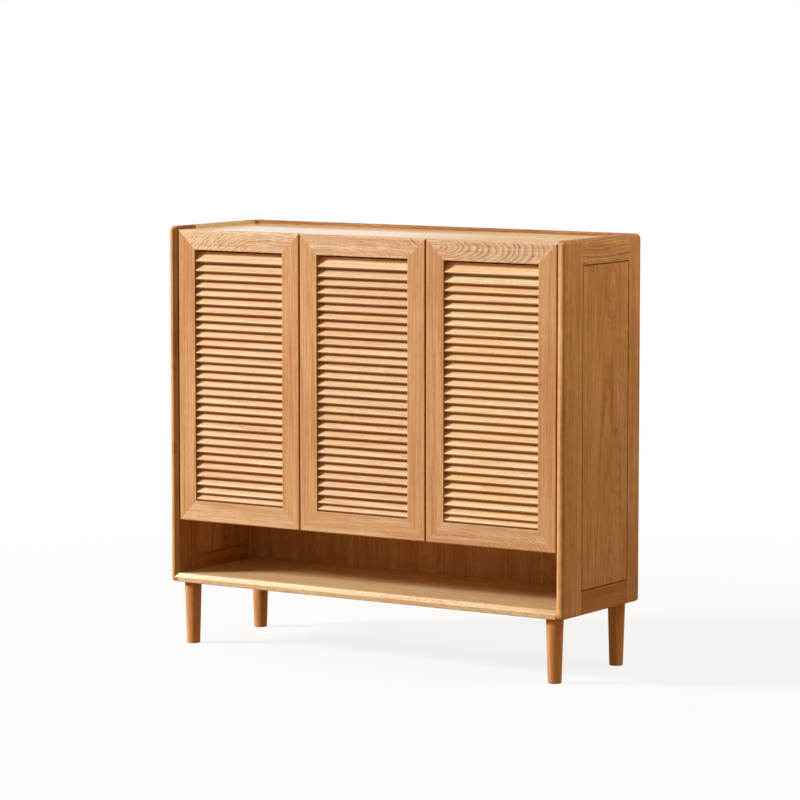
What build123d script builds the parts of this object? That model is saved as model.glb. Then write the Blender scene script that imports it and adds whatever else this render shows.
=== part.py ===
from build123d import *
import os
from math import cos, floor, radians, sin

# A free-standing shoe cabinet in solid oak: three inset louvred doors over an open shoe niche,
# framed and panelled sides, and four turned legs.  Millimetres, +Z up.  The origin is on the floor
# at the middle of the cabinet, the doors face -Y, and +X is to the right of someone facing them.

# ------------------------------------------------------------------------------ overall sizes
cabinet_width = 1100
cabinet_depth = 350
cabinet_height = 1010
leg_length = 151

# ------------------------------------------------------------------------------ carcass boards
side_thickness = 21
bottom_thickness = 21
middle_thickness = 18
top_thickness = 20
partition_thickness = 18
shelf_thickness = 16
niche_height = 132          # clear height of the open shoe niche
lip_height = 8              # how far the sides and back rail stand above the top board
bevel_width = 10            # sloped inner edge of the front frame, seen from the front
bevel_depth = 6             # how far that slope runs back

# ------------------------------------------------------------------------------ side frames
front_stile_width = 81
back_stile_width = 58
side_top_rail_height = 58
side_bottom_rail_height = 56
side_arris_radius = 8
top_front_corner_radius = 11
top_back_corner_radius = 12
bottom_corner_radius = 9
lip_inner_radius = 2
bottom_board_radius = 2
panel_thickness = 14
panel_recess = 0.3          # outer panel face behind the outer face of the frame
panel_shadow_gap = 3        # open line round the panel's raised field
groove_width = 6.2
groove_depth = 8
tongue_end_gap = 1          # panels stop this far short of the bottom of their grooves
tenon_thickness = 7
tenon_length = 22
tenon_shoulder = 10

# ------------------------------------------------------------------------------ joints and fits
joint_fit = 0.1             # room left in a glued housing, groove or mortise
housing_depth = 5           # how far a board's end is let into its neighbour
housing_stop = 15           # the housing stops this far short of the front edge

# ------------------------------------------------------------------------------ back
back_rail_height = 60
back_rail_thickness = 20
back_rail_radius = 3
back_panel_thickness = 6
back_panel_inset = 12       # from the cabinet's back plane to the panel
back_groove_depth = 7
back_joint_chamfer = 1
batten_width = 40
batten_thickness = 10
batten_radius = 2

# ------------------------------------------------------------------------------ legs
leg_top_diameter = 41
leg_foot_diameter = 32
leg_foot_radius = 2.5
leg_inset_side = 42
leg_inset_front = 34
leg_bolt_diameter = 8
leg_bolt_in_leg = 32
leg_bolt_in_board = 14
leg_bolt_end_gap = 1

# ------------------------------------------------------------------------------ doors
door_count = 3
door_thickness = 25
door_recess = 6             # door face behind the front edges of the sides
door_gap = 3
door_back_gap = 2           # between the doors' backs and the boards that they close on
door_lap = 2                # how far the doors hang below the middle board
door_stile_width = 48
door_top_rail_height = 47
door_bottom_rail_height = 49
door_arris_radius = 3
door_opening_radius = 1
door_opening_angle = 95     # how far each door swings

# ------------------------------------------------------------------------------ louvre slats
slat_pitch = 19.76
slat_thickness = 5.5
slat_width = 27.5
slat_tilt = 44              # degrees from level, low at the front
slat_nose_radius = 1
slat_setback = 1.3          # slat noses behind the door's face
slat_housing = 6            # how far a slat's end is let into the stile
slat_fit = 0.1
top_slat_width = 29.5
top_slat_tilt = 48
top_slat_drop = 26.5        # top slat's nose below the opening's top
second_slat_drop = 49       # second slat's nose below the opening's top
least_last_pitch = 15       # closest that the run of slats comes to the bottom slat
bottom_slat_gap = 1.5       # between the bottom slat and the rail under it

# ------------------------------------------------------------------------------ hinges
cup_diameter = 35
cup_depth = 12.5
cup_edge_distance = 22.5    # cup centre from the door's hinge edge
cup_wall = 1.5
cup_flange_thickness = 1.2
cup_flange_length = 60
cup_flange_width = 22
hinge_end_distance = 90     # hinge centre from the door's end
hinge_arm_width = 15
hinge_arm_height = 11
hinge_arm_length = 66
hinge_nose_length = 10
hinge_plate_thickness = 3
hinge_plate_length = 52
hinge_plate_width = 34
hinge_pin_radius = 1.5
hinge_running_gap = 0.4
hinge_arm_radius = 1.5
hinge_plate_radius = 6
hinge_plate_setback = 3     # plate end short of the arm end
cup_rim_width = 2

# ------------------------------------------------------------------------------ small parts
shelves_per_bay = 3
shelf_side_gap = 1
shelf_front_setback = 14
shelf_arris_radius = 2
shelf_pin_diameter = 5
shelf_pin_in = 7.5
shelf_pin_out = 7.5
shelf_pin_end_gap = 0.5
shelf_pin_inset = 20        # from the inner edge of the front stile, and from the back panel
bumper_diameter = 8
bumper_thickness = 1.7
bumper_edge_distance = 20

# ------------------------------------------------------------------------------ worked out from the above
half_width = cabinet_width / 2
inner_half = half_width - side_thickness
front = -cabinet_depth / 2
back = cabinet_depth / 2
body_bottom = leg_length
niche_floor = body_bottom + bottom_thickness
middle_bottom = niche_floor + niche_height
middle_top = middle_bottom + middle_thickness
top_surface = cabinet_height - lip_height
top_underside = top_surface - top_thickness
door_front = front + door_recess
door_back = door_front + door_thickness
board_front = door_back + door_back_gap
door_bottom = middle_bottom - door_lap
door_top = top_surface
door_width = (2 * inner_half - (door_count + 1) * door_gap) / door_count
back_panel_front = back - back_panel_inset - back_panel_thickness
back_panel_back = back - back_panel_inset
board_back = back_panel_front - joint_fit
back_rail_front = back - back_rail_thickness
back_rail_bottom = cabinet_height - back_rail_height
pin_front = front + front_stile_width - shelf_pin_inset
pin_back = back_panel_front - shelf_pin_inset
panel_y = (front + front_stile_width, back - back_stile_width)
panel_z = (body_bottom + side_bottom_rail_height, cabinet_height - side_top_rail_height)
frame_middle = half_width - side_thickness / 2


def block(x0, x1, y0, y1, z0, z1):
    """A box between two opposite corners."""
    middle = Pos((x0 + x1) / 2, (y0 + y1) / 2, (z0 + z1) / 2)
    return middle * Box(x1 - x0, y1 - y0, z1 - z0)


def rod(radius, start, direction, length):
    """A round bar from a start point along a direction."""
    return Plane(origin=start, z_dir=direction) * Cylinder(
        radius, length, align=(Align.CENTER, Align.CENTER, Align.MIN))


def mirrored(shape):
    """The same piece for the other side of the cabinet."""
    return mirror(shape, about=Plane.YZ)


def save(node, *solids):
    """Write one named sub-part, which may be a group of separate solids."""
    shape = solids[0] if len(solids) == 1 else Compound(children=list(solids))
    export_step(shape, f"parts/{node}.step")


# ------------------------------------------------------------------------------ front bevel
def bevel_cutter():
    """The flared space inside the front frame; it slopes the sides and the bottom board alike,
    so that the two slopes meet in a mitre at each bottom corner."""
    above = cabinet_height + 50
    mouth = Plane.XZ.offset(-front) * Pos(0, (niche_floor - bevel_width + above) / 2) * Rectangle(
        2 * (inner_half + bevel_width), above - niche_floor + bevel_width)
    root = Plane.XZ.offset(-front - bevel_depth) * Pos(0, (niche_floor + above) / 2) * Rectangle(
        2 * inner_half, above - niche_floor)
    return loft([mouth.face(), root.face()])


# ------------------------------------------------------------------------------ sides
def side_slab():
    """The left side as one rounded slab, before it is parted into a frame and a panel."""
    slab = block(-half_width, -inner_half, front, back, body_bottom, cabinet_height)
    cross = slab.edges().filter_by(Axis.X)
    front_top, back_top = cross.group_by(Axis.Z)[-1].sort_by(Axis.Y)
    slab = fillet(front_top, top_front_corner_radius)
    cross = slab.edges().filter_by(Axis.X)
    slab = fillet(cross.sort_by(Axis.Z)[-1], top_back_corner_radius)
    cross = slab.edges().filter_by(Axis.X)
    slab = fillet(cross.group_by(Axis.Z)[0], bottom_corner_radius)
    slab = fillet(slab.faces().sort_by(Axis.X)[0].edges(), side_arris_radius)
    lip = slab.edges().filter_by(Axis.Y).group_by(Axis.Z)[-1].sort_by(Axis.X)[-1]
    slab = fillet(lip, lip_inner_radius)
    return slab - bevel_cutter()


def side_tenon(y0, y1, z0, z1, room=0.0):
    """A tenon on the middle line of the left side's thickness."""
    half = tenon_thickness / 2 + room
    return block(-frame_middle - half, -frame_middle + half, y0 - room, y1 + room,
                 z0 + tenon_shoulder - room, z1 - tenon_shoulder + room)


def housing(y0, y1, z0, z1):
    """The shallow trench in the left side that takes a board's end."""
    return block(-inner_half - housing_depth - joint_fit, -inner_half, y0, y1, z0, z1)


def left_side():
    """Stiles, rails and panel of the left side, by name."""
    slab = side_slab()
    y0, y1 = panel_y
    z0, z1 = panel_z
    outer, inner = -half_width, -inner_half

    stiles = {"front": slab & block(outer, inner, front, y0, body_bottom, cabinet_height),
              "back": slab & block(outer, inner, y1, back, body_bottom, cabinet_height)}
    rails = {"top": slab & block(outer, inner, y0, y1, z1, cabinet_height),
             "bottom": slab & block(outer, inner, y0, y1, body_bottom, z0)}

    rail_span = {"top": (z1, cabinet_height), "bottom": (body_bottom, z0)}
    for name, (low, high) in rail_span.items():
        rails[name] += side_tenon(y0 - tenon_length, y1 + tenon_length, low, high)
        for stile in stiles:
            stiles[stile] -= side_tenon(y0 - tenon_length, y1 + tenon_length, low, high, joint_fit)

    groove = block(-frame_middle - groove_width / 2, -frame_middle + groove_width / 2,
                   y0 - groove_depth, y1 + groove_depth, z0 - groove_depth, z1 + groove_depth)
    trenches = [groove,
                housing(front + housing_stop, back - housing_stop, body_bottom, niche_floor),
                housing(board_front + housing_stop, board_back, middle_bottom, middle_top),
                housing(board_front + housing_stop, back_rail_front, top_underside, top_surface)]
    for trench in trenches:
        stiles = {name: piece - trench for name, piece in stiles.items()}
        rails = {name: piece - trench for name, piece in rails.items()}

    stiles["back"] -= block(-inner_half - back_groove_depth, -inner_half,
                            back_panel_front - joint_fit, back_panel_back + joint_fit,
                            niche_floor - back_groove_depth, back_rail_bottom + back_groove_depth)
    stiles["back"] -= back_rail_tenon(joint_fit)
    for z in shelf_levels():
        for stile, y in (("front", pin_front), ("back", pin_back)):
            stiles[stile] -= pin_hole((-inner_half, y, z - shelf_pin_diameter / 2), (-1, 0, 0))

    field_outer = outer + panel_recess
    tongue = groove_width / 2 - joint_fit
    reach = groove_depth - tongue_end_gap
    panel = block(field_outer, field_outer + panel_thickness, y0 + panel_shadow_gap,
                  y1 - panel_shadow_gap, z0 + panel_shadow_gap, z1 - panel_shadow_gap)
    panel += block(-frame_middle - tongue, -frame_middle + tongue,
                   y0 - reach, y1 + reach, z0 - reach, z1 + reach)
    return {"front_stile": stiles["front"], "back_stile": stiles["back"],
            "top_rail": rails["top"], "bottom_rail": rails["bottom"], "panel": panel}


# ------------------------------------------------------------------------------ shelves and pins
def bays():
    """Clear width of each bay behind a door, from left to right."""
    walls = [-inner_half]
    for middle in partition_middles():
        walls += [middle - partition_thickness / 2, middle + partition_thickness / 2]
    walls.append(inner_half)
    return list(zip(walls[::2], walls[1::2]))


def partition_middles():
    """The partitions stand behind the gaps between the doors."""
    step = door_width + door_gap
    return [-inner_half + i * step + door_gap / 2 for i in range(1, door_count)]


def shelf_levels():
    """Undersides of the shelves, which part a bay into equal tiers."""
    tier = (top_underside - middle_top - shelves_per_bay * shelf_thickness) / (shelves_per_bay + 1)
    return [middle_top + i * tier + (i - 1) * shelf_thickness for i in range(1, shelves_per_bay + 1)]


def pin_hole(point, direction):
    """A blind hole for a shelf pin, running into the wood from its surface."""
    return rod(shelf_pin_diameter / 2 + joint_fit / 2, point, direction, shelf_pin_in + shelf_pin_end_gap)


def shelf(x0, x1, z):
    board = block(x0 + shelf_side_gap, x1 - shelf_side_gap, board_front + shelf_front_setback,
                  board_back - joint_fit, z, z + shelf_thickness)
    nose = board.edges().filter_by(Axis.X).group_by(Axis.Y)[0]
    return fillet(nose, shelf_arris_radius)


def shelf_pins():
    pins = []
    for x0, x1 in bays():
        for z in shelf_levels():
            for wall, inward in ((x0, 1), (x1, -1)):
                for y in (pin_front, pin_back):
                    start = (wall - inward * shelf_pin_in, y, z - shelf_pin_diameter / 2)
                    pins.append(rod(shelf_pin_diameter / 2, start, (inward, 0, 0),
                                    shelf_pin_in + shelf_pin_out))
    return pins


# ------------------------------------------------------------------------------ boards
def housed_board(y0, y1, z0, z1, tongue_y0, tongue_y1):
    """A level board between the sides, with its ends let into them behind the stops."""
    board = block(-inner_half, inner_half, y0, y1, z0, z1)
    reach = inner_half + housing_depth
    return board + block(-reach, reach, tongue_y0, tongue_y1, z0, z1)


def bottom_board():
    board = housed_board(front, back, body_bottom, niche_floor, front + housing_stop, back - housing_stop)
    low_front = board.edges().filter_by(Axis.X).group_by(Axis.Z)[0].sort_by(Axis.Y)[0]
    board = fillet(low_front, bottom_board_radius)
    board -= bevel_cutter()
    groove_end = inner_half + housing_depth
    board -= block(-groove_end, groove_end, back_panel_front - joint_fit, back_panel_back + joint_fit,
                   niche_floor - back_groove_depth, niche_floor)
    for x, y in leg_places():
        board -= rod(leg_bolt_diameter / 2 + joint_fit / 2, (x, y, body_bottom), (0, 0, 1),
                     leg_bolt_in_board + leg_bolt_end_gap)
    return board


def partition_trench(z0, z1):
    """Trenches that take the partitions' ends, in the middle and top boards."""
    return [block(middle - partition_thickness / 2, middle + partition_thickness / 2,
                  board_front + housing_stop, board_back, z0, z1) for middle in partition_middles()]


def middle_board():
    board = housed_board(board_front, board_back, middle_bottom, middle_top,
                         board_front + housing_stop, board_back)
    for trench in partition_trench(middle_top - housing_depth - joint_fit, middle_top):
        board -= trench
    return board


def top_board():
    board = housed_board(board_front, back_rail_front, top_underside, top_surface,
                         board_front + housing_stop, back_rail_front)
    for trench in partition_trench(top_underside, top_underside + housing_depth + joint_fit):
        board -= trench
    return board


def partition(middle):
    x0, x1 = middle - partition_thickness / 2, middle + partition_thickness / 2
    wall = block(x0, x1, board_front, board_back - joint_fit, middle_top, top_underside)
    wall -= block(x0, x1, back_rail_front - joint_fit, back, back_rail_bottom - joint_fit, cabinet_height)
    tongue_back = min(board_back, back_rail_front) - joint_fit
    wall += block(x0, x1, board_front + housing_stop, tongue_back,
                  middle_top - housing_depth, top_underside + housing_depth)
    for z in shelf_levels():
        for y in (pin_front, pin_back):
            for x, inward in ((x0, 1), (x1, -1)):
                wall -= pin_hole((x, y, z - shelf_pin_diameter / 2), (inward, 0, 0))
    return wall


# ------------------------------------------------------------------------------ back
def back_rail_tenon(room=0.0):
    """The back rail's stub tenon in the left back stile."""
    middle = (back_rail_front + back) / 2
    half = tenon_thickness / 2 + room
    return block(-inner_half - tenon_length / 2 - room, -inner_half, middle - half, middle + half,
                 back_rail_bottom + tenon_shoulder - room, top_underside + room)


def back_rail():
    rail = block(-inner_half, inner_half, back_rail_front, back, back_rail_bottom, cabinet_height)
    rail = fillet(rail.edges().filter_by(Axis.X).group_by(Axis.Z)[-1], back_rail_radius)
    rail -= block(-inner_half, inner_half, back_panel_front - joint_fit, back_panel_back + joint_fit,
                  back_rail_bottom, back_rail_bottom + back_groove_depth)
    return rail + back_rail_tenon() + mirrored(back_rail_tenon())


def back_panel():
    """The left half of the back, which meets the right half on the middle line."""
    reach = back_groove_depth - tongue_end_gap
    board = block(-inner_half - reach, -joint_fit, back_panel_front, back_panel_back,
                  niche_floor - reach, back_rail_bottom + reach)
    seam = board.edges().filter_by(Axis.Z).group_by(Axis.X)[-1].sort_by(Axis.Y)[0]
    return chamfer(seam, back_joint_chamfer)


def back_batten():
    """Covers the seam between the two back panels from behind."""
    batten = block(-batten_width / 2, batten_width / 2, back_panel_back, back_panel_back + batten_thickness,
                   niche_floor, back_rail_bottom)
    outer = batten.edges().filter_by(Axis.Z).group_by(Axis.Y)[-1]
    return fillet(outer, batten_radius)


# ------------------------------------------------------------------------------ legs
def leg_places():
    x = half_width - leg_inset_side
    return [(sx * x, sy * (cabinet_depth / 2 - leg_inset_front)) for sy in (-1, 1) for sx in (-1, 1)]


def leg(x, y):
    """A round leg that tapers straight to a softened foot, bored for its hanger bolt."""
    top, foot = leg_top_diameter / 2, leg_foot_diameter / 2
    outline = Polyline((0, 0), (foot, 0), (top, leg_length), (0, leg_length), close=True)
    turned = revolve(Plane.XZ * make_face(outline), Axis.Z)
    turned = fillet(turned.edges().sort_by(Axis.Z)[0], leg_foot_radius)
    turned -= rod(leg_bolt_diameter / 2 + joint_fit / 2, (0, 0, leg_length), (0, 0, -1),
                  leg_bolt_in_leg + leg_bolt_end_gap)
    return Pos(x, y, 0) * turned


def leg_bolt(x, y):
    return rod(leg_bolt_diameter / 2, (x, y, leg_length - leg_bolt_in_leg), (0, 0, 1),
               leg_bolt_in_leg + leg_bolt_in_board)


# ------------------------------------------------------------------------------ doors
opening_bottom = door_bottom + door_bottom_rail_height
opening_top = door_top - door_top_rail_height
slat_foot = slat_thickness * cos(radians(slat_tilt))
bottom_nose = opening_bottom + slat_foot + bottom_slat_gap


def slat_noses():
    """Heights of the regular slats' noses: an even run, then the slat just above the rail."""
    first = opening_top - second_slat_drop
    steps = floor((first - bottom_nose - least_last_pitch) / slat_pitch)
    return [first - i * slat_pitch for i in range(steps + 1)] + [bottom_nose]


def slat_section(nose_z, width, tilt, room=0.0):
    """Outline of a slat in the YZ plane, from its nose, which is the upper front arris."""
    along = (cos(radians(tilt)), sin(radians(tilt)))
    below = (along[1], -along[0])
    y = door_front + slat_setback
    shift = [(-room, -room), (width + room, -room), (width + room, slat_thickness + room),
             (-room, slat_thickness + room)]
    return [(y + a * along[0] + b * below[0], nose_z + a * along[1] + b * below[1]) for a, b in shift]


def slat_bar(nose_z, width, tilt, x0, x1, room=0.0):
    """A slat, or with room round it the trench for one, from x0 to x1."""
    face = make_face(Polyline(*slat_section(nose_z, width, tilt, room), close=True))
    bar = extrude(Plane.YZ.offset(x0) * face, x1 - x0)
    if room:
        return bar
    nose = bar.edges().filter_by(Axis.X).sort_by(Axis.Y)[:2]
    return fillet(nose, slat_nose_radius)


def all_slats(x0, x1, room=0.0):
    top = slat_bar(opening_top - top_slat_drop, top_slat_width, top_slat_tilt, x0, x1, room)
    pattern = slat_bar(0, slat_width, slat_tilt, x0, x1, room)
    return [top] + [Pos(0, 0, z) * pattern for z in slat_noses()]


def prism(points, y0, y1):
    """An outline in the XZ plane, carried from y0 to y1."""
    face = Plane.XZ.offset(-y1) * make_face(Polyline(*points, close=True))
    return extrude(face, y1 - y0)


def frame_bar(length, width, start_inset, end_inset):
    """A frame member lying along X on its outer edge, with its ends mitred to its neighbours' widths."""
    bar = block(0, length, door_front, door_back, 0, width)
    outer = bar.edges().filter_by(Axis.X).group_by(Axis.Y)[0].sort_by(Axis.Z)[0]
    bar = fillet(outer, door_arris_radius)
    inner = bar.edges().filter_by(Axis.X).group_by(Axis.Y)[0].sort_by(Axis.Z)[-1]
    bar = fillet(inner, door_opening_radius)
    over = 0.1                                  # runs the mitre lines on past both edges
    mitred = [(-start_inset * over, -width * over), (length + end_inset * over, -width * over),
              (length - end_inset * (1 + over), width * (1 + over)),
              (start_inset * (1 + over), width * (1 + over))]
    return bar & prism(mitred, front, board_front)


def door_frame():
    """The four mitred frame members and the slats of a door, with its left edge at X 0."""
    inner0, inner1 = door_stile_width, door_width - door_stile_width
    bottom = frame_bar(door_width, door_bottom_rail_height, door_stile_width, door_stile_width)
    top = frame_bar(door_width, door_top_rail_height, door_stile_width, door_stile_width)
    stile = frame_bar(door_top - door_bottom, door_stile_width, door_top_rail_height,
                      door_bottom_rail_height)
    members = {"bottom_rail": Pos(0, 0, door_bottom) * bottom,
               "top_rail": Pos(0, 0, door_top) * mirror(top, about=Plane.XY),
               "left_stile": Pos(0, 0, door_top) * Rot(0, 90, 0) * stile}
    members["right_stile"] = Pos(door_width, 0, 0) * mirror(members["left_stile"], about=Plane.YZ)
    for trench in all_slats(inner0 - slat_housing - slat_fit, inner0 + 1, slat_fit):
        members["left_stile"] -= trench
    for trench in all_slats(inner1 - 1, inner1 + slat_housing + slat_fit, slat_fit):
        members["right_stile"] -= trench
    slats = all_slats(inner0 - slat_housing, inner1 + slat_housing)
    return members, slats


def hinge_heights():
    return (door_bottom + hinge_end_distance, door_top - hinge_end_distance)


def cup_bore(x, z):
    return rod(cup_diameter / 2, (x, door_back - cup_depth, z), (0, 1, 0), cup_depth + 1)


def hinge_cup(x, z, inward):
    """The cup let into the door's back, with its flange, and the folded link on its cross pin."""
    flange = RectangleRounded(cup_flange_width, cup_flange_length, cup_flange_width / 2 - 1)
    flange += Circle(cup_diameter / 2 + cup_rim_width)
    floor_y = door_back - cup_depth
    cup = extrude(Plane(origin=(x, door_back, z), x_dir=(1, 0, 0), z_dir=(0, 1, 0)) * flange,
                  cup_flange_thickness)
    cup += rod(cup_diameter / 2 - joint_fit, (x, floor_y + joint_fit, z), (0, 1, 0), cup_depth)
    cup -= rod(cup_diameter / 2 - cup_wall, (x, floor_y + cup_wall, z), (0, 1, 0), cup_depth + 5)

    reach = cup_diameter / 2 - cup_wall
    pin_x, pin_y = x + inward * reach / 2, floor_y + cup_depth / 2
    half_pin = (reach ** 2 - (reach / 2 + hinge_pin_radius) ** 2) ** 0.5 - joint_fit
    pin = rod(hinge_pin_radius, (pin_x, pin_y, z - half_pin), (0, 0, 1), 2 * half_pin)
    eye = Circle(hinge_pin_radius * 2)
    link_top = Pos(-inward * reach, cup_depth / 2 + cup_flange_thickness - 2 * hinge_pin_radius)
    link = make_hull((eye + link_top * eye).edges())
    link -= Circle(hinge_pin_radius + joint_fit)
    link = extrude(Plane.XY.offset(z - hinge_arm_width / 2) * Pos(pin_x, pin_y) * link, hinge_arm_width)
    return [cup, pin, link]


def hinge_arm(wall, inward, cup_x, z):
    """The cranked arm on its mounting plate, screwed to a wall that faces inward."""
    reach = abs(cup_x - wall)
    near = door_back + cup_flange_thickness + hinge_running_gap
    far = near + hinge_arm_length
    bend = near + hinge_nose_length + reach / 2
    low, high = hinge_plate_thickness, hinge_plate_thickness + hinge_arm_height
    nose = hinge_arm_height / 2 + 1
    outline = [(low, far), (high, far), (high, bend + nose), (reach + nose, near + hinge_nose_length),
               (reach + nose, near), (reach - nose, near), (reach - nose, near + hinge_nose_length / 2),
               (low, bend)]
    face = make_face(Polyline(*[(wall + inward * u, v) for u, v in outline], close=True))
    arm = extrude(Plane.XY.offset(z - hinge_arm_width / 2) * face, hinge_arm_width)
    arm = fillet(arm.edges().filter_by(Axis.Z), hinge_arm_radius)

    plate_middle = far - hinge_plate_width / 2 - hinge_plate_setback
    plate_face = RectangleRounded(hinge_plate_width, hinge_plate_length, hinge_plate_radius)
    plate = extrude(Plane(origin=(wall, plate_middle, z), x_dir=(0, 1, 0), z_dir=(inward, 0, 0))
                    * plate_face, hinge_plate_thickness)
    return [arm, plate]


def door_hardware(x_hinge, inward, wall):
    """Cups and arms of one door that hangs from the wall beside its hinge edge."""
    cup_x = x_hinge + inward * cup_edge_distance
    cups, arms = [], []
    for z in hinge_heights():
        cups += hinge_cup(cup_x, z, inward)
        arms += hinge_arm(wall, inward, cup_x, z)
    return cups, arms


def bumpers(x_free, inward):
    """Two small pads on the door's back that meet the edges of the top and middle boards."""
    x = x_free + inward * bumper_edge_distance
    levels = ((middle_bottom + middle_top) / 2, (top_underside + top_surface) / 2)
    return [rod(bumper_diameter / 2, (x, door_back, z), (0, 1, 0), bumper_thickness) for z in levels]


def door_set(name, x0, hinged_left, wall):
    """Write every piece of one door, whose left edge is at x0."""
    x1 = x0 + door_width
    members = {member: Pos(x0, 0, 0) * shape for member, shape in door_members.items()}
    x_hinge, x_free, inward = (x0, x1, 1) if hinged_left else (x1, x0, -1)
    hinge_stile = "left_stile" if hinged_left else "right_stile"
    cups, arms = door_hardware(x_hinge, inward, wall)
    for z in hinge_heights():
        members[hinge_stile] -= cup_bore(x_hinge + inward * cup_edge_distance, z)
    for member, shape in members.items():
        save(f"{name}_{member}", shape)
    save(f"{name}_slats", *[Pos(x0, 0, 0) * slat for slat in door_slats])
    save(f"{name}_hinge_cups", *cups)
    save(f"{name}_hinge_arms", *arms)
    save(f"{name}_bumpers", *bumpers(x_free, -inward))


# ------------------------------------------------------------------------------ assembly
os.makedirs("parts", exist_ok=True)

for piece, shape in left_side().items():
    save(f"left_side_{piece}", shape)
    save(f"right_side_{piece}", mirrored(shape))

save("bottom_board", bottom_board())
save("middle_board", middle_board())
save("top_board", top_board())
for name, middle in zip(("left_partition", "right_partition"), partition_middles()):
    save(name, partition(middle))
save("back_rail", back_rail())
save("back_panel_left", back_panel())
save("back_panel_right", mirrored(back_panel()))
save("back_batten", back_batten())

for name, place in zip(("front_left", "front_right", "back_left", "back_right"), leg_places()):
    save(f"{name}_leg", leg(*place))
save("leg_bolts", *[leg_bolt(*place) for place in leg_places()])

for bay, (x0, x1) in zip(("left", "middle", "right"), bays()):
    for level, z in enumerate(shelf_levels(), 1):
        save(f"{bay}_shelf_{level}", shelf(x0, x1, z))
save("shelf_pins", *shelf_pins())

door_left_edges = [-inner_half + door_gap + i * (door_width + door_gap) for i in range(door_count)]
left_bay, middle_bay, right_bay = bays()
door_members, door_slats = door_frame()
door_set("left_door", door_left_edges[0], True, left_bay[0])
door_set("middle_door", door_left_edges[1], True, middle_bay[0])
door_set("right_door", door_left_edges[2], False, right_bay[1])
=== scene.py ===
"""The looks of a louvred oak shoe cabinet: oiled oak with its grain along every piece, zinc-plated
fittings, soft studio light and a white floor.  Metres, +Z up, doors towards -Y."""

import math

import bpy
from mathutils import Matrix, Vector


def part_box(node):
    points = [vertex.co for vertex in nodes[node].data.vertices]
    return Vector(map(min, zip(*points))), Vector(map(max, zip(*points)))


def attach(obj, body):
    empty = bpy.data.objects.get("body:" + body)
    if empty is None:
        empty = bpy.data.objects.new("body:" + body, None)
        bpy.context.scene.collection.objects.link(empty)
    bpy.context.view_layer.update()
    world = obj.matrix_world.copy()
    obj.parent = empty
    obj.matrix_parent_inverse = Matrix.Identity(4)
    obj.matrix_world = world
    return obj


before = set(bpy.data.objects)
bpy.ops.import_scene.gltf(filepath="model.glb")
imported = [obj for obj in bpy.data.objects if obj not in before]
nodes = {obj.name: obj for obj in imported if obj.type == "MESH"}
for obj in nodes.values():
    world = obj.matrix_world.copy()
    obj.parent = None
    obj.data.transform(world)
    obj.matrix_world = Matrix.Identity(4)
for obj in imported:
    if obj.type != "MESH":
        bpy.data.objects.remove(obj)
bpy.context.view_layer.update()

MM = 0.001

# ------------------------------------------------------------------------------ louvres, as built
slat_pitch = 19.76 * MM
slat_tilt = math.radians(44)
slat_thickness = 5.5 * MM
slat_setback = 1.3 * MM
second_slat_drop = 49 * MM

# ------------------------------------------------------------------------------ oak colours, sRGB
oak_pore = (112, 64, 28)
oak_end = (150, 96, 52)
# painted shade: laid on bevels, gap edges, undersides and upper edges where shade falls
oak_painted_shade = (112, 60, 24)
# painted shade, warmer: laid on each slat where the slat above shades it
oak_painted_warm_shade = (250, 158, 76)
# painted light: laid on the left stile's foot, the right bevel and the left lip
oak_painted_light = (255, 228, 184)


def linear(colour):
    """An 8-bit sRGB colour as linear RGBA."""
    parts = [c / 255 for c in colour]
    return (*[c / 12.92 if c <= 0.04045 else ((c + 0.055) / 1.055) ** 2.4 for c in parts], 1)


# ------------------------------------------------------------------------------ node building
class Wire:
    """A socket's value in a tree; arithmetic on it adds Math nodes."""

    def __init__(self, network, socket):
        self.network = network
        self.socket = socket

    def maths(self, operation, *values):
        return self.network.node("ShaderNodeMath", {"operation": operation},
                                 dict(enumerate(values)))

    def __add__(self, other):
        return self.maths("ADD", self, other)

    def __radd__(self, other):
        return self.maths("ADD", other, self)

    def __sub__(self, other):
        return self.maths("SUBTRACT", self, other)

    def __rsub__(self, other):
        return self.maths("SUBTRACT", other, self)

    def __mul__(self, other):
        return self.maths("MULTIPLY", self, other)

    def __rmul__(self, other):
        return self.maths("MULTIPLY", other, self)

    def __truediv__(self, other):
        return self.maths("DIVIDE", self, other)

    def __pow__(self, other):
        return self.maths("POWER", self, other)

    def floor(self):
        return self.maths("FLOOR", self)

    def fraction(self):
        return self.maths("FRACT", self)

    def size(self):
        return self.maths("ABSOLUTE", self)

    def ramp(self, low, high):
        """0 below low, 1 above high, and smooth between them."""
        return self.network.node("ShaderNodeMapRange", {"interpolation_type": "SMOOTHSTEP"},
                                 {"Value": self, "From Min": low, "From Max": high})


class Network:
    """A node tree being built, with one method that adds any node."""

    def take(self, owner):
        """Works on the tree of a material or a world, which it empties first."""
        owner.use_nodes = True
        self.tree = owner.node_tree
        self.tree.nodes.clear()
        return owner

    def node(self, kind, settings=None, inputs=None, output=0):
        made = self.tree.nodes.new(kind)
        for name, value in (settings or {}).items():
            setattr(made, name, value)
        for key, values in (inputs or {}).items():
            for value in values if isinstance(values, list) else [values]:
                if isinstance(value, Wire):
                    self.tree.links.new(value.socket, made.inputs[key])
                else:
                    made.inputs[key].default_value = value
        return Wire(self, made.outputs[output])

    def vector(self, *parts):
        return self.node("ShaderNodeCombineXYZ", None, dict(enumerate(parts)))

    def seen(self):
        """1 for what the camera or a reflection sees, and 0 for light on its way to the cabinet."""
        direct = self.node("ShaderNodeLightPath", output="Is Camera Ray")
        glossy = self.node("ShaderNodeLightPath", output="Is Glossy Ray")
        return direct.maths("MAXIMUM", direct, glossy)

    def end(self, kind, key, result):
        """Ends the tree in its output node."""
        last = self.tree.nodes.new(kind)
        self.tree.links.new(result.socket, last.inputs[key])


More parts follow.
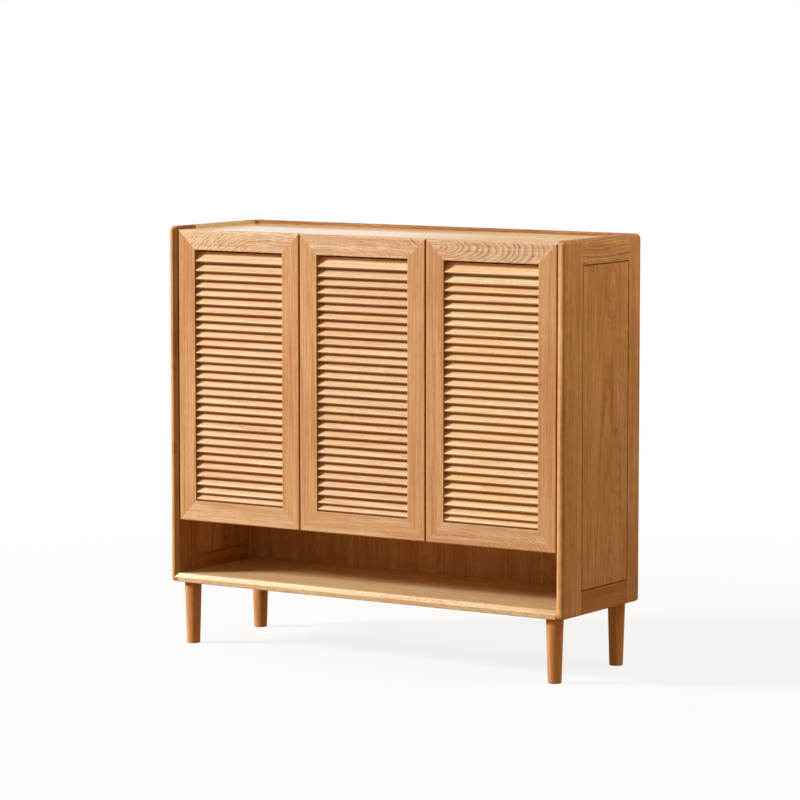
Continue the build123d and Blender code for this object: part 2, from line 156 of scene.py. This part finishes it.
class Finish(Network):
    """A material."""

    def __init__(self, name):
        self.material = self.take(bpy.data.materials.new(name))

    def xyz(self, output="Object"):
        """The three parts of a texture coordinate, by axis letter."""
        place = self.node("ShaderNodeTexCoord", output=output)
        return {axis: self.node("ShaderNodeSeparateXYZ", None, {0: place}, output=i)
                for i, axis in enumerate("XYZ")}

    def noise(self, vector, detail=2.0, roughness=0.5):
        return self.node("ShaderNodeTexNoise", None,
                         {"Vector": vector, "Scale": 1.0, "Detail": detail, "Roughness": roughness})

    def cloud(self, repeats, detail):
        """Noise that repeats so often in a metre along each axis."""
        place = self.xyz()
        spread = [place[axis] * often for axis, often in zip("XYZ", repeats)]
        return self.noise(self.vector(*spread), detail)

    def chance(self, value):
        """A steady random number from 0 to 1 for each value."""
        return self.node("ShaderNodeTexWhiteNoise", {"noise_dimensions": "1D"}, {"W": value})

    def mix(self, factor, first, second):
        return self.node("ShaderNodeMix", {"data_type": "RGBA"}, {0: factor, 6: first, 7: second},
                         output=2)

    def surface(self, **inputs):
        """Ends the finish in a Principled shader and returns the material."""
        named = {key.replace("_", " "): value for key, value in inputs.items()}
        shader = self.node("ShaderNodeBsdfPrincipled", None, named)
        self.end("ShaderNodeOutputMaterial", "Surface", shader)
        return self.material


# ------------------------------------------------------------------------------ oak
class Timber:
    """The colours of one run of boards: early wood, later wood, and the ring lines."""

    def __init__(self, pale, mid, dark):
        self.pale, self.mid, self.dark = linear(pale), linear(mid), linear(dark)


class Figure:
    """How a board was cut: where the pith lay across and behind it, its slope along the grain, the
    ring width, how far the rings wander, and how strongly they show."""

    def __init__(self, across, behind, slope, ring, wander, contrast):
        self.across, self.behind, self.slope = across, behind, slope
        self.ring, self.wander, self.contrast = ring, wander, contrast


class Gloss:
    """How far a surface was rubbed up after oiling: its coat, the coat's roughness, and how much of
    the grain is felt."""

    def __init__(self, weight, roughness, bump):
        self.weight, self.roughness, self.bump = weight, roughness, bump


oiled = Gloss(0.0, 0.3, 0.35)
rubbed = Gloss(0.3, 0.42, 0.3)
satin = Gloss(0.4, 0.26, 0.25)
waxed = Gloss(0.8, 0.1, 0.05)

stile_oak = Timber((234, 189, 138), (211, 155, 104), (150, 90, 44))
leg_oak = Timber((234, 186, 130), (211, 151, 96), (150, 87, 38))
top_rail_oak = Timber((250, 224, 188), (236, 192, 146), (150, 90, 46))
rail_oak = Timber((244, 210, 168), (224, 173, 122), (160, 102, 56))
slat_oak = Timber((250, 226, 188), (242, 202, 156), (192, 132, 82))
# painted light: a paler copy of the slat oak, for the brighter light on the right door
slat_oak_painted_light = Timber((255, 238, 196), (255, 220, 168), (220, 154, 98))
side_oak = Timber((236, 186, 128), (210, 154, 96), (140, 85, 38))
# painted shade: a darker copy of the side oak for the bottom rails, where the sides fall into shade
side_foot_oak_painted_shade = Timber((214, 158, 92), (188, 126, 64), (128, 72, 26))
# painted shadow: a darker copy of the oak for the back rails, for shadows cast on them
back_rail_oak_painted_shadow = Timber((196, 142, 90), (168, 114, 64), (116, 68, 30))
side_rail_oak = Timber((250, 210, 158), (230, 176, 124), (118, 66, 26))
board_oak = Timber((250, 226, 178), (236, 194, 138), (172, 114, 60))
top_oak = Timber((253, 230, 178), (239, 197, 140), (176, 118, 60))

straight = Figure(0.30, 0.12, 0.03, 9 * MM, 5 * MM, 0.35)
domed = Figure(-0.05, 0.05, -0.44, 3.8 * MM, 6 * MM, 1.0)
leaning = Figure(-0.07, 0.06, 0.46, 4.0 * MM, 6 * MM, 1.0)
arched = Figure(0.005, 0.052, 0.25, 4.2 * MM, 5 * MM, 1.0)
slanting = Figure(-0.06, 0.05, 0.40, 4.0 * MM, 6 * MM, 0.8)
plain = Figure(-0.09, 0.04, 0.16, 3.6 * MM, 5 * MM, 0.6)
broad = Figure(0.02, 0.06, 0.07, 5 * MM, 14 * MM, 0.5)
bold = Figure(0.02, 0.05, 0.08, 13 * MM, 16 * MM, 0.5)
striped = Figure(0.30, 0.12, 0.03, 17 * MM, 9 * MM, 0.7)
wavy = Figure(0.08, 0.03, 0.05, 7 * MM, 9 * MM, 1.0)
fine = Figure(0.35, 0.10, 0.03, 6 * MM, 3 * MM, 0.6)

# How often each mark of the grain repeats in a metre, along the grain and across it.
bend_repeats = (4.0, 11.0)
shake_repeats = (45.0, 80.0)
break_repeats = (60.0, 40.0)
blotch_repeats = (2.5, 17.0)
streak_repeats = (3.5, 130.0)
fibre_repeats = (12.0, 480.0)
pore_repeats = (95.0, 1900.0)
uneven_repeats = 70.0

# Where in its noise a mark sets in and is full, and how strongly it then shows.
break_range = (0.3, 0.7)
body_range = (0.34, 0.66)
fibre_range = (0.42, 0.78)
pore_range = (0.54, 0.7)
fibre_strength, pore_strength, end_strength = 0.5, 0.45, 0.65

bend_share, shake_share = 4, 1.3        # of a figure's wander
ring_unevenness = 2.2
ring_start, ring_fade = 0.12, 1.6       # how soon a ring is full, and how fast it fades outwards
grain_depth = 0.15 * MM
oak_roughness, oak_specular, coat_ior = 0.48, 0.12, 1.7


def wood_surface(finish, along, across, depth, end, timber, figure, seed, gloss, coat, painted_light_and_shade):
    """Oak from a board's own directions: rings round a pith, fibres, pores and end grain.  Painted
    light and shade come as pairs of a mask and the colour that it brings in."""

    def marks(repeats, detail=2.0, roughness=0.5):
        """Noise that is drawn out along the grain."""
        place = finish.vector(along * repeats[0] + seed, across * repeats[1], depth * repeats[1])
        return finish.noise(place, detail, roughness)

    # rings round the pith, which swing slowly and shake quickly along the board
    bend, shake = marks(bend_repeats), marks(shake_repeats)
    wander = ((bend - 0.5) * (bend_share * figure.wander)
              + (shake - 0.5) * (shake_share * figure.wander))
    side = across - figure.across + wander
    tilt = along * figure.slope + figure.behind
    rise = depth + tilt * 0.65 + tilt.size() * 0.35 + wander * 0.6
    radius = (side * side + rise * rise) ** 0.5
    uneven = finish.noise(finish.vector(radius * uneven_repeats, seed, 0.0), 1.0)
    rings = radius / figure.ring + uneven * ring_unevenness

    # each ring starts sharply, fades outwards, and breaks up along its length
    late = rings.fraction()
    line = late.ramp(0.0, ring_start) * (1.0 - late) ** ring_fade
    broken = marks(break_repeats)
    strength = finish.chance(rings.floor()) * 0.6 + broken.ramp(*break_range) * 0.5 + 0.1

    blotch = marks(blotch_repeats)
    streak = marks(streak_repeats, 3.0)
    fibre = marks(fibre_repeats, 3.0, 0.65)
    dashes = marks(pore_repeats, 1.0)
    pores = dashes.ramp(*pore_range) * (line * 0.7 + 0.3)

    body = (blotch * 0.45 + streak * 0.55).ramp(*body_range)
    colour = finish.mix(body, timber.pale, timber.mid)
    colour = finish.mix(line * strength * figure.contrast, colour, timber.dark)
    colour = finish.mix(fibre.ramp(*fibre_range) * fibre_strength, colour, timber.dark)
    colour = finish.mix(pores * pore_strength, colour, linear(oak_pore))
    colour = finish.mix(end * end_strength, colour, linear(oak_end))
    # painted light and shade, laid over the oak's own colour
    for mask, painted_colour in painted_light_and_shade:
        colour = finish.mix(mask, colour, linear(painted_colour))

    height = (1.0 - pores) * 0.7 + fibre * 0.3
    bump = finish.node("ShaderNodeBump", None,
                       {"Strength": gloss.bump, "Distance": grain_depth, "Height": height})
    roughness = oak_roughness + pores * 0.2 + fibre * 0.06
    return finish.surface(Base_Color=colour, Roughness=roughness, Normal=bump, Coat_Weight=coat,
                          Coat_Roughness=gloss.roughness, Coat_IOR=coat_ior,
                          Specular_IOR_Level=oak_specular)


# ------------------------------------------------------------------------------ painted light and shade, by place
# Where a mask sets in and is full, as a face turns towards a direction; 1 faces it squarely.
face_on = (0.8, 0.95)
edge_on = (0.75, 0.95)
bevel_turn = (0.25, 0.45)
foot_turn = (0.2, 0.4)
upper_turn = (0.3, 0.9)
front_turn = (0.9, 0.99)
underside_turn = (0.1, 0.5)

foot_level = (190 * MM, 200 * MM)           # the foot of the left front stile ends here
lip_level = (1000 * MM, 1002 * MM)          # the sides stand above the top board from here
top_painted_shadow_reach = (-100 * MM, 500 * MM)     # a painted shadow darkens the top board towards its right end
top_shadow_coat_reach = (-150 * MM, 400 * MM)      # and the coat thins there as part of the same painted shadow

# How much painted light or shade, or coat for a painted highlight, a place takes.
left_bevel_shade = 0.45
foot_light, foot_coat = 0.8, 0.5
right_inside_shade = 0.5
right_bevel_light, right_bevel_coat = 0.05, 0.4
lip_light, lip_coat = 0.9, 0.8
upper_edge_shade = 0.5
top_painted_shadow, top_shadow_coat_drop = 0.22, 0.7
board_front_shade, board_under_shade = 0.14, 0.4
gap_edge_painted_shade = 0.5


# Each of these gives a board's coat and its painted light and shade, as pairs of a mask and a
# colour.
def left_stile(place, facing):
    """Painted shade on the inner bevel, and a painted highlight with more coat on the foot."""
    bevel = facing["X"].ramp(*bevel_turn)
    foot = facing["Z"].ramp(*foot_turn) * (1.0 - place["Z"].ramp(*foot_level))
    return foot * foot_coat, [(bevel * left_bevel_shade, oak_painted_shade), (foot * foot_light, oak_painted_light)]


def right_stile(_, facing):
    """A painted highlight with more coat on the bevel, beside painted shade on the face towards the
    niche.
    """
    inward = facing["X"] * -1.0
    inside = inward.ramp(*face_on)
    bevel = inward.ramp(*bevel_turn) * (1.0 - inside)
    painted_light_and_shade = [(inside * right_inside_shade, oak_painted_shade), (bevel * right_bevel_light, oak_painted_light)]
    return bevel * right_bevel_coat, painted_light_and_shade


def left_lip(place, facing):
    """Painted light and more coat on the inner face that stands above the top board."""
    lip = facing["X"].ramp(*face_on) * place["Z"].ramp(*lip_level)
    return lip * lip_coat, [(lip * lip_light, oak_painted_light)]


def right_rail(_, facing):
    """Painted shade on the upper edge."""
    return oiled.weight, [(facing["Z"].ramp(*upper_turn) * upper_edge_shade, oak_painted_shade)]


def top(place, _):
    """A painted shadow towards the right end: darker, with less coat."""
    coat = waxed.weight - place["X"].ramp(*top_shadow_coat_reach) * top_shadow_coat_drop
    return coat, [(place["X"].ramp(*top_painted_shadow_reach) * top_painted_shadow, oak_painted_shade)]


def niche_floor(_, facing):
    """Painted shade on the front edge and underside."""
    front = (facing["Y"] * -1.0).ramp(*front_turn)
    under = (facing["Z"] * -1.0).ramp(*underside_turn)
    painted_light_and_shade = [(front * board_front_shade, oak_painted_shade), (under * board_under_shade, oak_painted_shade)]
    return satin.weight, painted_light_and_shade


painted_light_by_board = {
    "left_side_front_stile": left_stile,
    "right_side_front_stile": right_stile,
    "left_side_top_rail": left_lip,
    "left_side_back_stile": left_lip,
    "right_side_top_rail": right_rail,
    "top_board": top,
    "bottom_board": niche_floor,
}
glosses = {"top_board": waxed, "bottom_board": satin}


# ------------------------------------------------------------------------------ finishes in oak
door_rails = {"left_door_top_rail": domed, "middle_door_top_rail": leaning}


def plan(node):
    """Grain directions, timber and figure of a wooden node, from what it is.  The directions are
    along, across and through the grain."""
    if "door" in node:
        if "stile" in node:
            return "ZXY", stile_oak, straight
        if "top" in node:
            return "XZY", top_rail_oak, door_rails.get(node, arched)
        return "XZY", rail_oak, slanting if node.startswith("right") else plain
    if "side" in node:
        if "rail" in node:
            if "bottom" in node:
                return "YZX", side_foot_oak_painted_shade, plain
            # the left side's top rail takes the paler top-rail oak as painted light on its lip
            return "YZX", top_rail_oak if "left" in node else side_rail_oak, wavy
        return "ZYX", side_oak, bold if "panel" in node else striped
    if "leg" in node:
        return "ZXY", leg_oak, straight
    if "partition" in node:
        return "ZYX", stile_oak, broad
    if node.startswith("back"):
        return ("XZY", back_rail_oak_painted_shadow, wavy) if "rail" in node else ("ZXY", side_oak, broad)
    return "XYZ", top_oak if node == "top_board" else board_oak, broad


def oak_board(node, seed):
    """Oak for a straight board."""
    axes, timber, figure = plan(node)
    gloss = glosses.get(node, oiled)
    finish = Finish(f"oak_{node}")
    place, facing = finish.xyz(), finish.xyz("Normal")
    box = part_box(node)
    middle = {axis: (box[0][i] + box[1][i]) / 2 for i, axis in enumerate("XYZ")}
    along, across, depth = (place[axis] - middle[axis] for axis in axes)
    end = facing[axes[0]].size().ramp(*face_on)
    coat, painted_light_and_shade = gloss.weight, []
    if node in painted_light_by_board:
        coat, painted_light_and_shade = painted_light_by_board[node](place, facing)
    # painted shade on the edges of door stiles and side panels, in the gaps between parts
    elif node.endswith("side_panel") or "door" in node and "stile" in node:
        edge = facing[axes[1]].size().ramp(*edge_on)
        painted_light_and_shade = [(edge * gap_edge_painted_shade, oak_painted_shade)]
    return wood_surface(finish, along, across, depth, end, timber, figure, seed, gloss, coat, painted_light_and_shade)


slat_jump = (7.0, 0.5)              # how far apart two slats' boards lie, along and across
slat_shade = (9 * MM, 13 * MM)      # behind the nose, where a slat lies under the next one
slat_clear = (2 * MM, 10 * MM)      # above the second nose, where the first slat lies free
slat_under_turn = (0.2, 0.6)
slat_inner_shade, slat_under_shade = 0.36, 0.5


def oak_slats(node, seed):
    """Oak for one door's louvres, with each slat from a board of its own."""
    door = node.split("_")[0]
    # the right door's slats take the paler copy as painted light
    timber = slat_oak_painted_light if door == "right" else slat_oak
    finish = Finish(f"oak_{node}")
    place = finish.xyz()
    lean, rise = math.sin(slat_tilt), math.cos(slat_tilt)
    width = place["Y"] * rise + place["Z"] * lean
    through = place["Z"] * rise - place["Y"] * lean
    opening_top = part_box(f"{door}_door_top_rail")[0].z
    nose_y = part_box(f"{door}_door_top_rail")[0].y + slat_setback
    nose_z = opening_top - second_slat_drop

    # slats are numbered by how far through the stack a point lies, and the second one is 0
    first = nose_z * rise - nose_y * lean - slat_thickness / 2
    step = slat_pitch * rise
    number = ((through - first) / step + 0.5).floor()
    pick = finish.chance(number + seed)
    along = place["X"] + pick * slat_jump[0]
    across = width + pick * slat_jump[1]
    depth = through - first - number * step

    # painted shade: behind its nose a slat is darker and warmer where the next slat shades it,
    # except for the first one; its underside takes painted shade too
    nose = number * (slat_pitch * lean) + (nose_z * lean + nose_y * rise)
    free = place["Z"].ramp(nose_z + slat_clear[0], nose_z + slat_clear[1])
    inner = (width - nose).ramp(*slat_shade) * (1.0 - free)
    under = (finish.xyz("Normal")["Z"] * -1.0).ramp(*slat_under_turn)
    painted_light_and_shade = [(inner * slat_inner_shade, oak_painted_warm_shade), (under * slat_under_shade, oak_painted_shade)]
    return wood_surface(finish, along, across, depth, 0.0, timber, fine, seed, rubbed,
                        rubbed.weight, painted_light_and_shade)


# ------------------------------------------------------------------------------ fittings
def zinc():
    """Bright zinc plating with a faint drawn grain."""
    finish = Finish("zinc_plate")
    cloud = finish.cloud((90.0, 90.0, 90.0), 3.0)
    drawn = finish.cloud((900.0, 900.0, 300.0), 2.0)
    colour = finish.mix(cloud, linear((186, 188, 190)), linear((206, 207, 208)))
    return finish.surface(Base_Color=colour, Metallic=1.0, Roughness=0.26 + drawn * 0.16)


def pad():
    """Clear soft plastic of the door bumpers."""
    finish = Finish("bumper_pad")
    cloud = finish.cloud((400.0, 400.0, 400.0), 2.0)
    colour = finish.mix(cloud, linear((214, 210, 202)), linear((228, 226, 220)))
    return finish.surface(Base_Color=colour, Roughness=0.35 + cloud * 0.1)


def paint(node, material):
    nodes[node].data.materials.clear()
    nodes[node].data.materials.append(material)


seed_step = 3.7     # far enough apart that no two pieces share their noise

steel, soft = zinc(), pad()
for count, node in enumerate(sorted(nodes), 1):
    seed = seed_step * count
    if node.endswith(("hinge_arms", "hinge_cups", "leg_bolts", "shelf_pins")):
        paint(node, steel)
    elif node.endswith("bumpers"):
        paint(node, soft)
    elif node.endswith("slats"):
        paint(node, oak_slats(node, seed))
    else:
        paint(node, oak_board(node, seed))


# ------------------------------------------------------------------------------ screws
screw_radius, screw_height, screw_recess = 3.5 * MM, 1.4 * MM, 1.0 * MM
recess_reach, recess_depth = 1.15, 1.1      # of the head's radius and height
head_segments, head_rings = 16, 8

# Where the screws sit on the fittings, as built.
inward_of_hinge = {"left": 1, "middle": 1, "right": -1}     # from a door's hinge edge, along X
hinge_from_end = 90 * MM
cup_from_edge = 22.5 * MM
flange_top = 1.2 * MM
flange_screw_reach = 24 * MM
plate_top, arm_top = 3 * MM, 14 * MM
plate_screw_reach = 20 * MM
plate_from_arm_end = 20 * MM
arm_screws_from_end = (12 * MM, 30 * MM)
batten_screws = 7
batten_screw_inset = 9 * MM
carcass_screw_seed = 7


class Recipe(Network):
    """A Geometry Nodes tree with named inputs."""

    def __init__(self, name, inputs):
        self.tree = bpy.data.node_groups.new(name, "GeometryNodeTree")
        self.sockets = {key: self.socket(key, "INPUT", kind) for key, kind in inputs.items()}
        self.socket("Result", "OUTPUT", "NodeSocketGeometry")
        start = self.tree.nodes.new("NodeGroupInput")
        self.inputs = {key: Wire(self, start.outputs[key]) for key in inputs}

    def socket(self, name, side, kind):
        return self.tree.interface.new_socket(name=name, in_out=side, socket_type=kind)


def screw_recipe():
    """Pan heads with a cross recess, one standing on each given point and facing its own way."""
    recipe = Recipe("pan_head_screws", {
        "Places": "NodeSocketGeometry",
        "Head Radius": "NodeSocketFloat",
        "Head Height": "NodeSocketFloat",
        "Recess Width": "NodeSocketFloat",
        "Seed": "NodeSocketInt",
        "Finish": "NodeSocketMaterial",
    })
    given = recipe.inputs
    radius, height, recess = given["Head Radius"], given["Head Height"], given["Recess Width"]
    ball = recipe.node("GeometryNodeMeshUVSphere", None,
                       {"Segments": head_segments, "Rings": head_rings, "Radius": 1.0})
    head = recipe.node("GeometryNodeTransform", None,
                       {"Geometry": ball, "Scale": recipe.vector(radius, radius, height)})
    lift = recipe.vector(0.0, 0.0, height)
    bars = [recipe.node("GeometryNodeMeshCube", None, {"Size": recipe.vector(*size)})
            for size in ((radius * recess_reach, recess, height * recess_depth),
                         (recess, radius * recess_reach, height * recess_depth))]
    bars = [recipe.node("GeometryNodeTransform", None, {"Geometry": bar, "Translation": lift})
            for bar in bars]
    head = recipe.node("GeometryNodeMeshBoolean", {"operation": "DIFFERENCE"},
                       {"Mesh 1": head, "Mesh 2": bars})
    facing = recipe.node("GeometryNodeInputNamedAttribute", {"data_type": "FLOAT_VECTOR"},
                         {"Name": "facing"})
    upright = recipe.node("FunctionNodeAlignRotationToVector", {"axis": "Z"}, {"Vector": facing})
    angle = recipe.node("FunctionNodeRandomValue", {"data_type": "FLOAT"},
                        {2: 0.0, 3: math.pi, "Seed": given["Seed"]}, output=1)
    spin = recipe.node("FunctionNodeAxisAngleToRotation", None, {"Angle": angle})
    turned = recipe.node("FunctionNodeRotateRotation", {"rotation_space": "LOCAL"},
                         {"Rotation": upright, "Rotate By": spin})
    heads = recipe.node("GeometryNodeInstanceOnPoints", None,
                        {"Points": given["Places"], "Instance": head, "Rotation": turned})
    made = recipe.node("GeometryNodeRealizeInstances", None, {"Geometry": heads})
    made = recipe.node("GeometryNodeSetMaterial", None,
                       {"Geometry": made, "Material": given["Finish"]})
    recipe.end("NodeGroupOutput", "Result", made)
    return recipe


def drive_screws(name, body, spots, seed):
    """One mesh of screws for a body; spots are places on it with the directions that they face."""
    mesh = bpy.data.meshes.new(name)
    mesh.from_pydata([place for place, _ in spots], [], [])
    facing = mesh.attributes.new("facing", "FLOAT_VECTOR", "POINT")
    for i, (_, direction) in enumerate(spots):
        facing.data[i].vector = direction
    made = bpy.data.objects.new(name, mesh)
    bpy.context.scene.collection.objects.link(made)
    modifier = made.modifiers.new("screws", "NODES")
    modifier.node_group = screws.tree
    for key, value in {"Head Radius": screw_radius, "Head Height": screw_height,
                       "Recess Width": screw_recess, "Seed": seed, "Finish": steel}.items():
        modifier[screws.sockets[key].identifier] = value
    ready = made.evaluated_get(bpy.context.evaluated_depsgraph_get())
    solid = bpy.data.meshes.new_from_object(ready)
    made.modifiers.clear()
    made.data = solid
    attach(made, body)


screws = screw_recipe()
carcass_spots = []
for seed, (door, inward) in enumerate(inward_of_hinge.items(), 1):
    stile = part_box(f"{door}_door_{'left' if inward > 0 else 'right'}_stile")
    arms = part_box(f"{door}_door_hinge_arms")
    edge, wall = (stile[0].x, arms[0].x) if inward > 0 else (stile[1].x, arms[1].x)
    cup, plate, arm = (start + inward * away for start, away in
                       ((edge, cup_from_edge), (wall, plate_top), (wall, arm_top)))
    into, outward = (inward, 0, 0), (0, 1, 0)
    door_spots = []
    for z in (stile[0].z + hinge_from_end, stile[1].z - hinge_from_end):
        for up in (-1, 1):
            door_spots.append(((cup, stile[1].y + flange_top, z + up * flange_screw_reach),
                               outward))
            carcass_spots.append(((plate, arms[1].y - plate_from_arm_end,
                                   z + up * plate_screw_reach), into))
        for reach in arm_screws_from_end:
            carcass_spots.append(((arm, arms[1].y - reach, z), into))
    drive_screws(f"{door}_door_screws", f"door_{door}", door_spots, seed)

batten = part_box("back_batten")
for i in range(batten_screws):
    share = (i + 0.5) / batten_screws
    side = batten[0].x + batten_screw_inset if i % 2 else batten[1].x - batten_screw_inset
    level = batten[0].z + share * (batten[1].z - batten[0].z)
    carcass_spots.append(((side, batten[1].y, level), (0, 1, 0)))
drive_screws("carcass_screws", "carcass", carcass_spots, carcass_screw_seed)


# ------------------------------------------------------------------------------ floor and studio
floor_size = 80
floor_white = (0.95, 0.95, 0.95, 1)
floor_bounce = (0.36, 0.18, 0.05, 1)    # the light that the floor sends back to the cabinet
shadow_reach = (0.9, 2.4)               # the shadow fades out between these distances
shadow_share = 0.16
ambient_colour = (1.0, 0.74, 0.43, 1)
ambient_strength = 0.31
aim = Vector((0, 0, 0.55))

camera_place = (4.77714, -7.36107, 1.51832)
camera_turn, camera_dip = 33, 5.93
camera_lens, camera_sensor = 167.85, 36
camera_range = 200


def floor_finish():
    """A white studio floor that keeps a soft shadow near the cabinet."""
    finish = Finish("studio_floor")
    place = finish.xyz()
    reach = (place["X"] * place["X"] + place["Y"] * place["Y"]) ** 0.5
    near = 1.0 - reach.ramp(*shadow_reach)
    seen = finish.seen()
    colour = finish.mix(seen, floor_bounce, floor_white)
    matt = finish.node("ShaderNodeBsdfDiffuse", None, {"Color": colour})
    white = finish.node("ShaderNodeEmission", None, {"Color": (1, 1, 1, 1), "Strength": 1.0})
    share = seen * (1.0 - near * shadow_share)
    mixed = finish.node("ShaderNodeMixShader", None, {0: share, 1: matt, 2: white})
    finish.end("ShaderNodeOutputMaterial", "Surface", mixed)
    return finish.material


def lay_floor():
    bpy.ops.mesh.primitive_plane_add(size=floor_size)
    floor = bpy.context.object
    floor.name = "floor"
    floor.data.materials.append(floor_finish())


def surround():
    """White to look at, and a warm even light on the cabinet."""
    world = Network()
    bpy.context.scene.world = world.take(bpy.data.worlds.new("studio"))
    seen = world.seen()
    ambient = world.node("ShaderNodeBackground", None,
                         {"Color": ambient_colour, "Strength": ambient_strength})
    white = world.node("ShaderNodeBackground", None, {"Color": (1, 1, 1, 1), "Strength": 1.0})
    mixed = world.node("ShaderNodeMixShader", None, {0: seen, 1: ambient, 2: white})
    world.end("ShaderNodeOutputWorld", "Surface", mixed)


def lamp(name, azimuth, elevation, distance, size, power, colour):
    """An area lamp that faces the cabinet; azimuth 0 is straight in front, negative to the left."""
    turn, lift = math.radians(azimuth), math.radians(elevation)
    level = math.cos(lift)
    towards = Vector((math.sin(turn) * level, -math.cos(turn) * level, math.sin(lift)))
    data = bpy.data.lights.new(name, "AREA")
    data.shape = "SQUARE"
    data.size = size
    data.energy = power
    data.color = colour
    made = bpy.data.objects.new(name, data)
    made.location = aim + towards * distance
    made.rotation_euler = (-towards).to_track_quat("-Z", "Y").to_euler()
    bpy.context.scene.collection.objects.link(made)


def camera():
    """Seen from the front right, a little above the cabinet."""
    data = bpy.data.cameras.new("camera")
    data.lens = camera_lens
    data.sensor_width = camera_sensor
    data.clip_end = camera_range
    made = bpy.data.objects.new("camera", data)
    made.location = camera_place
    made.rotation_euler = (math.radians(90 - camera_dip), 0, math.radians(camera_turn))
    bpy.context.scene.collection.objects.link(made)
    bpy.context.scene.camera = made


lay_floor()
surround()
lamp("key", azimuth=-55, elevation=25.5, distance=8.5, size=1.8, power=890,
     colour=(1.0, 1.0, 1.0))
lamp("fill", azimuth=106, elevation=42, distance=2.1, size=1.2, power=11,
     colour=(1.0, 0.8, 0.48))
camera()
bpy.context.scene.view_settings.view_transform = "Standard"
